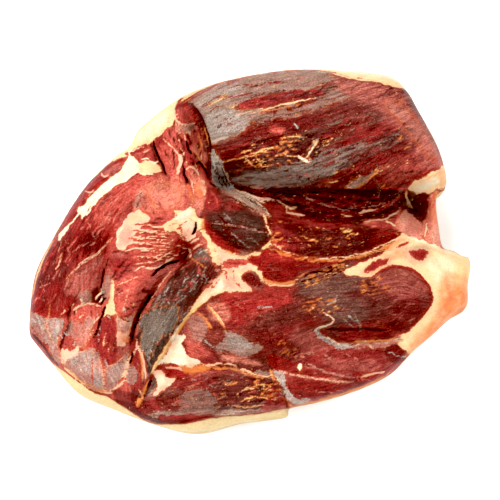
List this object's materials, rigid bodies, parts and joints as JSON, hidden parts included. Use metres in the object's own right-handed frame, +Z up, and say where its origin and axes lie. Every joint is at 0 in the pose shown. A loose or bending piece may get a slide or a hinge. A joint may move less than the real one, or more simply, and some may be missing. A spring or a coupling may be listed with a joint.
{
  "type": "cured ham",
  "caption": "Boned dry-cured ham in one piece, lying on its rind with the dark red, muscled and fat-seamed open face up.",
  "frame": {"origin": "middle of the underside's box, on the surface the ham lies on", "axes": "+Z up, +X along the ham's length to the right as seen from the front, +Y towards its thick back edge"},
  "size_m": [0.3554, 0.297, 0.1036],
  "materials": {
    "cured_meat": "dried, slightly greasy surface of cured meat with pale fat seams"
  },
  "bodies": {
    "root": {"ham": "cured_meat"}
  },
  "joints": []
}
